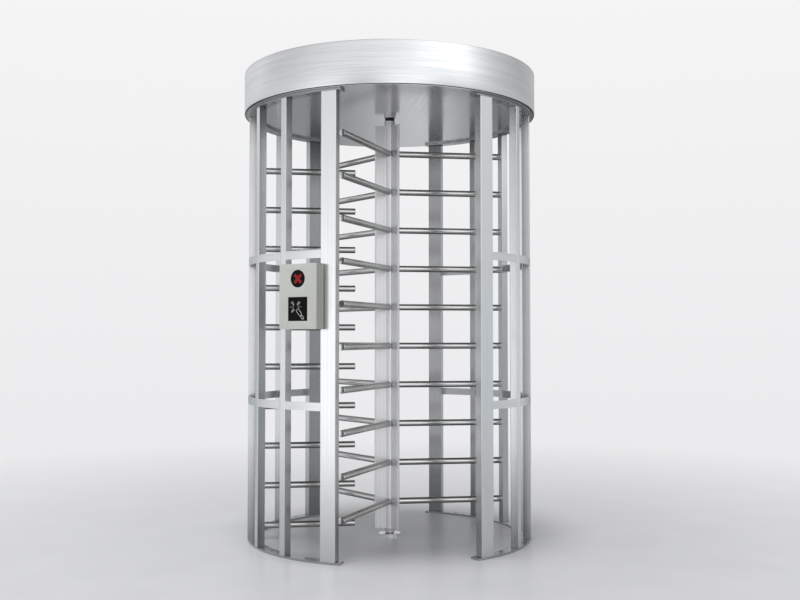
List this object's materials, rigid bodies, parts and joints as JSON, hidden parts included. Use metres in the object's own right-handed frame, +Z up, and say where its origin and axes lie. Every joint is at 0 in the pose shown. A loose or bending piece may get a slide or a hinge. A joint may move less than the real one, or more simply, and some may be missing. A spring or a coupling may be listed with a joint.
{
  "type": "full-height turnstile",
  "caption": "Full-height turnstile: three wings of bars on a central column in a cage of posts, with a round canopy, a fixed comb and an access box.",
  "frame": {"origin": "on the floor, on the rotor axis", "axes": "+Z up; people walk through along Y, on the +X side of the column; the fixed comb is on the -X side; the access box is on the front-left posts (-X, -Y)"},
  "size_m": [1.464, 1.464, 2.3],
  "materials": {
    "post_steel": "satin, brushed along the post",
    "rail_steel": "satin",
    "plate_steel": "fine brushed",
    "bar_steel": "satin, brushed along the bar",
    "column_aluminium": "anodised, finely ribbed",
    "canopy_steel": "brushed around the drum",
    "ceiling_steel": "brushed, reflective",
    "hub_steel": "turned",
    "floor_chrome": "polished",
    "seal_rubber": "matt",
    "bush_plastic": "matt",
    "screw_steel": "turned",
    "spring_steel": "drawn wire",
    "mechanism_steel": "milled",
    "bearing_steel": "ground",
    "housing_iron": "painted casting",
    "motor_paint": "satin paint",
    "board_plastic": "circuit board with parts",
    "box_paint": "fine textured powder coat",
    "window_black": "polished black",
    "gland_plastic": "matt"
  },
  "bodies": {
    "cage": {"access_box_boards": "board_plastic", "access_box_cover": "box_paint", "access_box_cross_bars": "rail_steel", "access_box_screws": "screw_steel", "access_box_tray": "box_paint", "canopy_beams": "mechanism_steel", "canopy_lid": "canopy_steel", "canopy_skin": "canopy_steel", "ceiling_panel": "ceiling_steel", "ceiling_screws": "screw_steel", "comb_bar_caps": "bar_steel", "comb_bars": "bar_steel", "comb_post": "post_steel", "control_board": "board_plastic", "display_lens": "window_black", "entry_spring": "spring_steel", "exit_spring": "spring_steel", "floor_bush": "bush_plastic", "floor_flange": "floor_chrome", "floor_plate_left": "plate_steel", "floor_plate_right": "plate_steel", "gearmotor": "motor_paint", "lid_screws": "screw_steel", "lock_solenoids": "motor_paint", "mechanism_plate": "mechanism_steel", "passage_post_front_left": "post_steel", "passage_post_front_right": "post_steel", "passage_post_rear_left": "post_steel", "passage_post_rear_right": "post_steel", "pawl_pins": "screw_steel", "power_supply": "motor_paint", "reader_window": "window_black", "side_posts_left": "post_steel", "side_posts_right": "post_steel", "side_rails_left_lower": "rail_steel", "side_rails_left_upper": "rail_steel", "side_rails_right_lower": "rail_steel", "side_rails_right_upper": "rail_steel", "spindle_seal": "seal_rubber", "supply_gland": "gland_plastic", "top_bearing_housing": "housing_iron", "top_bearing_outer_ring": "bearing_steel", "top_plate_left": "plate_steel", "top_plate_right": "plate_steel"},
    "rotor": {"column": "column_aluminium", "wing_a_arms": "bar_steel", "wing_b_arms": "bar_steel", "wing_c_arms": "bar_steel", "arm_caps": "bar_steel", "spindle": "hub_steel", "foot_pivot": "hub_steel", "top_bearing_inner_ring": "bearing_steel", "lock_disc": "mechanism_steel", "drive_gear": "mechanism_steel"},
    "drive_pinion": {"drive_pinion": "mechanism_steel"},
    "entry_pawl": {"entry_pawl": "mechanism_steel"},
    "exit_pawl": {"exit_pawl": "mechanism_steel"},
    "entry_plunger": {"entry_plunger": "screw_steel"},
    "exit_plunger": {"exit_plunger": "screw_steel"}
  },
  "joints": [
    {"name": "rotor_turn", "type": "hinge", "parent": "cage", "child": "rotor", "pos_m": [0, 0, 0], "axis": [0, 0, 1], "continuous": true},
    {"name": "pinion_turn", "type": "hinge", "parent": "cage", "child": "drive_pinion", "pos_m": [0.16, 0, 0], "axis": [0, 0, 1], "continuous": true},
    {"name": "entry_pawl_swing", "type": "hinge", "parent": "cage", "child": "entry_pawl", "pos_m": [-0.05767, 0.11412, 2.211], "axis": [0, 0, 1], "range_deg": [0, 10.5], "stiffness_Nm_per_rad": 0.5, "springref_deg": -8.59},
    {"name": "exit_pawl_swing", "type": "hinge", "parent": "cage", "child": "exit_pawl", "pos_m": [-0.05767, -0.11412, 2.211], "axis": [0, 0, -1], "range_deg": [0, 10.5], "stiffness_Nm_per_rad": 0.5, "springref_deg": -8.59},
    {"name": "entry_plunger_slide", "type": "slide", "parent": "cage", "child": "entry_plunger", "axis": [-0.866, 0.5, 0], "range_m": [0, 0.0075], "deforming": ["entry_spring"]},
    {"name": "exit_plunger_slide", "type": "slide", "parent": "cage", "child": "exit_plunger", "axis": [-0.866, -0.5, 0], "range_m": [0, 0.0075], "deforming": ["exit_spring"]}
  ],
  "couplings": [
    {"joint": "pinion_turn", "follows": "rotor_turn", "ratio": -3},
    {"joint": "entry_plunger_slide", "follows": "entry_pawl_swing", "m_per_rad": 0.04},
    {"joint": "exit_plunger_slide", "follows": "exit_pawl_swing", "m_per_rad": 0.04}
  ]
}
